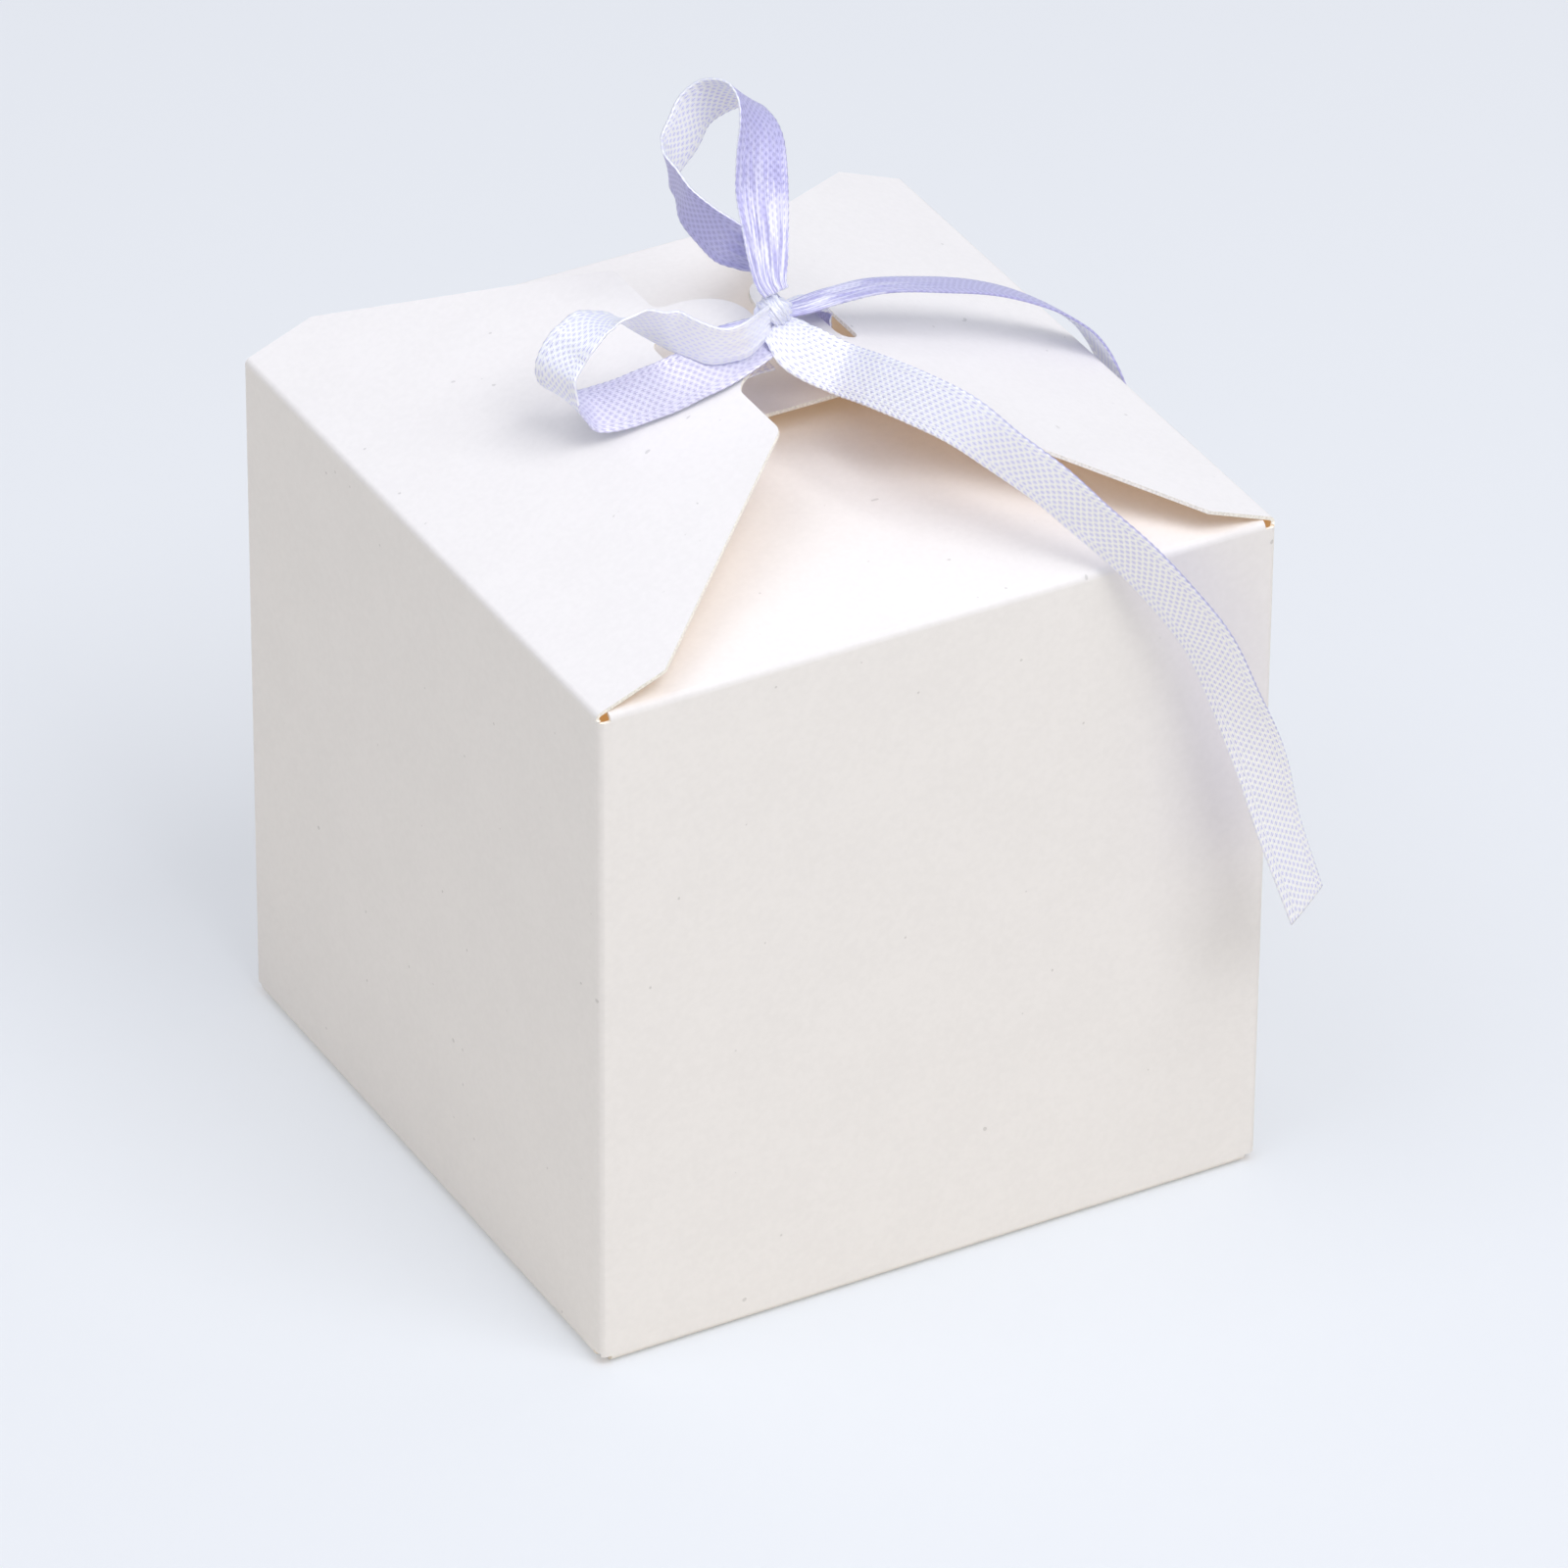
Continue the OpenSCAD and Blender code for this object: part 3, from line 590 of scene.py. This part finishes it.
def satin(name, painted_shade_colour, ground, thread, depth, sheen):
    """Satin ribbon, by the colour of its painted shade in marks and streaks, of the ground, and
    of its floats, which are drawn lighter partly as painted highlight.
    """
    material, tree, shader = surface(name)
    weave = add(tree, "ShaderNodeGroup", {"node_tree": satin_weave}, **WEAVE)
    pulled = weave.outputs["Gather"]
    # Painted shade: the ground darkens towards the shade colour in faint streaks everywhere, more
    # where gathered.
    painted_streak_shade = calc(tree, "MULTIPLY", ramp(tree, weave.outputs["Streaks"], 0.55, 0.36, 0.0, 0.4),
               calc(tree, "ADD", 0.3, pulled), clamp=True)
    # Painted highlight: where the ribbon is gathered, bright streaks are drawn towards white.
    painted_streak_highlight = calc(tree, "MULTIPLY", ramp(tree, weave.outputs["Streaks"], 0.42, 0.6), pulled)
    # The floats take the lighter float colour, partly as painted highlight on each float.
    colour = mixed(tree, weave.outputs["Floats"], mixed(tree, painted_streak_shade, ground, painted_shade_colour), thread)
    colour = mixed(tree, calc(tree, "MULTIPLY", painted_streak_highlight, PAINTED_HIGHLIGHT_SHARE), colour, PAINTED_HIGHLIGHT_COLOUR)
    # Painted shadow: a short mark in the shade colour at each float's end.
    colour = mixed(tree, weave.outputs["Marks"], colour, painted_shade_colour)
    tree.links.new(colour, shader.inputs["Base Color"])
    shine = ramp(tree, weave.outputs["Marks"], 0.0, 1.0, 0.38, 0.6)
    tree.links.new(shine, shader.inputs["Roughness"])
    bump = add(tree, "ShaderNodeBump", Height=weave.outputs["Height"], Strength=depth,
               Distance=0.0001)
    tree.links.new(bump.outputs[0], shader.inputs["Normal"])
    # The faint blue-lilac emission is painted light: a glow from the whole ribbon that stands in
    # for light through the thin satin.
    for socket, value in (
        ("Metallic", sheen),
        ("Subsurface Weight", 0.5), ("Subsurface Radius", (1, 1, 1.1)),
        ("Subsurface Scale", 0.0006),
        ("Sheen Weight", 0.3), ("Sheen Roughness", 0.5), ("Sheen Tint", (0.7, 0.78, 1.0, 1)),
        ("Emission Color", (0.55, 0.62, 1.0, 1)), ("Emission Strength", 0.07),
    ):
        shader.inputs[socket].default_value = value
    return material


print("weave, in millimetres:", WEAVE)

# %% [markdown]
# ## The ribbon's sides
# The front of satin is brighter and its weave crisper than the back's, and the back is drawn
# darker still, as painted shade. The left loop shows one side at the knot, the other round its
# far end, and the first again inside its lower half. Its first side is a lighter copy, as painted
# light. Its lower half lies in the loop's own shade, so from there on the first side has a deeper
# lilac copy, as painted shade.

# %% Give each band its sides
SECOND_HALF = 0.55
satin_face = satin("satin_face", (0.6, 0.6, 0.8, 1), (0.83, 0.83, 0.97, 1),
                   (0.95, 0.96, 1.0, 1), 0.6, 0.3)
# A lighter, smoother copy of the satin, as painted light, for the left loop's first side.
satin_smooth_painted_light = satin("satin_smooth_painted_light", (0.78, 0.77, 0.95, 1), (0.93, 0.92, 1.0, 1),
                     (0.98, 0.98, 1.0, 1), 0.3, 0.3)
# A deeper lilac copy of that side, as painted shade, for the loop's shaded lower half.
satin_low_painted_shade = satin("satin_low_painted_shade", (0.52, 0.5, 0.7, 1), (0.61, 0.58, 0.77, 1),
                  (0.75, 0.73, 0.89, 1), 0.5, 0.2)
# The back: duller than the front in fact, and drawn darker still, as painted shade.
satin_back_painted_shade = satin("satin_back_painted_shade", (0.34, 0.32, 0.56, 1), (0.4, 0.38, 0.64, 1),
                   (0.52, 0.5, 0.78, 1), 0.4, 0.1)
sides = {
    "left_loop": (satin_smooth_painted_light, satin_face, satin_low_painted_shade),
    "back_tail": (satin_back_painted_shade, satin_face),
}
# Past SECOND_HALF, the left loop's first side gets the painted shade copy.
faces = bands["left_loop"].data.polygons
for face in faces:
    if face.material_index == 0 and face.index > SECOND_HALF * len(faces):
        face.material_index = 2
for name, piece in bands.items():
    for material in sides.get(name, (satin_face, satin_back_painted_shade)):
        piece.data.materials.append(material)
print("ribbon pieces:", sorted(bands))

# %% [markdown]
# ## Hanging the pieces on the box
# The bow is tied round both flaps, but when the box is opened it stays with the left flap in
# this model, as the CAD record says. Each piece replaces the plain solid of the same name.

# %% Say what each piece rides on and replaces
for name, piece in bands.items():
    body = "right_lid" if name == "right_strap" else "left_lid"
    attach(piece, body)
    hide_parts("knot" if name == "knot_turn" else name)
print("ride on left_lid:", sum(name != "right_strap" for name in bands))

# %% [markdown]
# ## The table and the light
# The photograph is a plain studio picture: a pale blue-white table, a lamp above the front, a
# little to the right, a broader one from the left, and soft light from everywhere else. The
# front lamp's place was read from the front tail's shadow on the front wall. The table is a
# plain sheet that shows the box's own soft shadow. To the camera alone, a part of it is an even
# glow, so that it looks as pale as the photograph's without more light on the box.

# %% Lay the table
TABLE_HALF = 8
EVEN_SHARE = 0.4
corners = [(-1, -1), (1, -1), (1, 1), (-1, 1)]
mesh = bpy.data.meshes.new("table")
mesh.from_pydata([(x * TABLE_HALF, y * TABLE_HALF, -0.0002) for x, y in corners],
                 [], [(0, 1, 2, 3)])
table = bpy.data.objects.new("table", mesh)
bpy.context.scene.collection.objects.link(table)
material, tree, shader = surface("pale_table")
ray = add(tree, "ShaderNodeLightPath")
tree.links.new(mixed(tree, ray.outputs["Is Camera Ray"], (0.87, 0.83, 0.73, 1),
                     (0.85, 0.9, 0.975, 1)), shader.inputs["Base Color"])
shader.inputs["Roughness"].default_value = 0.9
shader.inputs["Specular IOR Level"].default_value = 0.1
glow = add(tree, "ShaderNodeEmission", Color=(0.8, 0.8, 0.79, 1), Strength=1.0)
even = calc(tree, "MULTIPLY", ray.outputs["Is Camera Ray"], EVEN_SHARE)
blend = add(tree, "ShaderNodeMixShader", i0=even, i1=shader.outputs[0], i2=glow.outputs[0])
tree.links.new(blend.outputs[0], tree.nodes["Material Output"].inputs[0])
mesh.materials.append(material)
print("table:", 2 * TABLE_HALF, "m wide")

# %% Light it
def softbox(name, azimuth, elevation, distance, size, watts, colour):
    """A square lamp that faces the box. Azimuth 0 is the front, and 90 the right."""
    a, e = math.radians(azimuth), math.radians(elevation)
    way = Vector((math.sin(a) * math.cos(e), -math.cos(a) * math.cos(e), math.sin(e)))
    lamp = bpy.data.lights.new(name, "AREA")
    lamp.size, lamp.energy, lamp.color = size, watts, colour
    thing = bpy.data.objects.new(name, lamp)
    bpy.context.scene.collection.objects.link(thing)
    thing.location = way * distance + Vector((0, 0, 0.06))
    thing.rotation_euler = way.to_track_quat("Z", "Y").to_euler()


softbox("front_lamp", 14, 58, 1.3, 0.75, 8.4, (1.0, 0.985, 0.97))
softbox("side_lamp", -88, 63, 1.6, 1.0, 5.2, (1.0, 0.985, 0.98))
world = bpy.data.worlds.new("studio")
bpy.context.scene.world = world
world.use_nodes = True
tree = world.node_tree
tree.nodes.clear()
ray = add(tree, "ShaderNodeLightPath")
seen = calc(tree, "MAXIMUM", ray.outputs["Is Camera Ray"],
            calc(tree, "MAXIMUM", ray.outputs["Is Glossy Ray"],
                 ray.outputs["Is Transmission Ray"]))
height = add(tree, "ShaderNodeSeparateXYZ",
             i0=add(tree, "ShaderNodeTexCoord").outputs["Generated"]).outputs[2]
fill = add(tree, "ShaderNodeBackground", Color=(0.95, 0.975, 1.08, 1),
           Strength=ramp(tree, height, -0.1, 1.0, 0.17, 0.62))
shown = add(tree, "ShaderNodeBackground", Color=(0.80, 0.86, 0.93, 1), Strength=1.0)
blend = add(tree, "ShaderNodeMixShader", i0=seen, i1=fill.outputs[0], i2=shown.outputs[0])
add(tree, "ShaderNodeOutputWorld", Surface=blend.outputs[0])
bpy.context.scene.view_settings.view_transform = "Standard"
